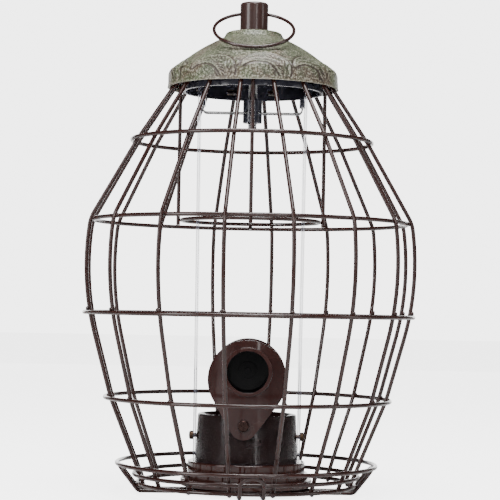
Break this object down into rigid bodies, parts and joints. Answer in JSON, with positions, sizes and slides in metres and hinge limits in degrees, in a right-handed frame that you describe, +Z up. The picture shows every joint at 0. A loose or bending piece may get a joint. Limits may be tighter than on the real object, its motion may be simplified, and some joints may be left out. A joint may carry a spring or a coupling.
{
  "type": "bird feeder",
  "caption": "Squirrel proof bird feeder: clear seed tube with two ports inside a bulging welded wire cage, with a wire tray and a domed lid on a hanging ring.",
  "frame": {"origin": "on the resting plane of the two lowest tray wires, on the feeder's axis", "axes": "+Z up the tube, -Y out of the front port, +X to the right as seen from the front"},
  "size_m": [0.2289, 0.229, 0.3382],
  "materials": {
    "wire": "gloss powder coat",
    "base_plastic": "satin moulded",
    "port_plastic": "fine textured",
    "dark_plastic": "matt",
    "clear_plastic": "clear",
    "screw_steel": "bronzed",
    "plain_steel": "zinc plated",
    "lid_paint": "textured moss green with brown in the relief",
    "knob_paint": "satin"
  },
  "bodies": {
    "cage": {"rib_01": "wire", "rib_02": "wire", "rib_03": "wire", "rib_04": "wire", "rib_05": "wire", "rib_06": "wire", "rib_07": "wire", "rib_08": "wire", "rib_09": "wire", "rib_10": "wire", "rib_11": "wire", "rib_12": "wire", "rib_13": "wire", "rib_14": "wire", "rib_15": "wire", "rib_16": "wire", "tray_floor_ring": "wire", "foot_ring": "wire", "lower_ring": "wire", "waist_ring": "wire", "shoulder_ring": "wire", "upper_ring": "wire", "top_ring": "wire", "tray_rim_ring": "wire", "side_hairpin": "wire", "front_hairpin": "wire", "guide_hoop": "wire", "hoop_rod_1": "wire", "hoop_rod_2": "wire", "hoop_rod_3": "wire", "hoop_rod_4": "wire", "collar": "dark_plastic", "base": "base_plastic", "base_screw": "screw_steel"},
    "feeder": {"seed_tube": "clear_plastic", "cup": "dark_plastic", "front_port_plate": "port_plastic", "back_port_plate": "port_plastic", "front_port_throat": "dark_plastic", "back_port_throat": "dark_plastic", "port_screws": "screw_steel", "tube_screws": "screw_steel", "right_lug": "dark_plastic", "left_lug": "dark_plastic", "bail_wires": "plain_steel", "nut_body": "dark_plastic", "nut_cap": "dark_plastic"},
    "lid": {"dome": "lid_paint", "lid_washer": "plain_steel"},
    "knob": {"knob": "knob_paint", "threaded_rod": "plain_steel", "lock_nut": "plain_steel"},
    "ring": {"hang_ring": "wire"}
  },
  "joints": [
    {"name": "feeder_lift", "type": "slide", "parent": "cage", "child": "feeder", "axis": [0, 0, 1], "range_m": [0, 0.28]},
    {"name": "lid_lift", "type": "slide", "parent": "feeder", "child": "lid", "axis": [0, 0, 1], "range_m": [0, 0.1]},
    {"name": "knob_turn", "type": "hinge", "parent": "lid", "child": "knob", "pos_m": [0, 0, 0.3178], "axis": [0, 0, 1], "continuous": true},
    {"name": "ring_swing", "type": "hinge", "parent": "knob", "child": "ring", "pos_m": [0, 0, 0.3307], "axis": [-1, 0, 0], "range_deg": [0, 246.44]}
  ]
}
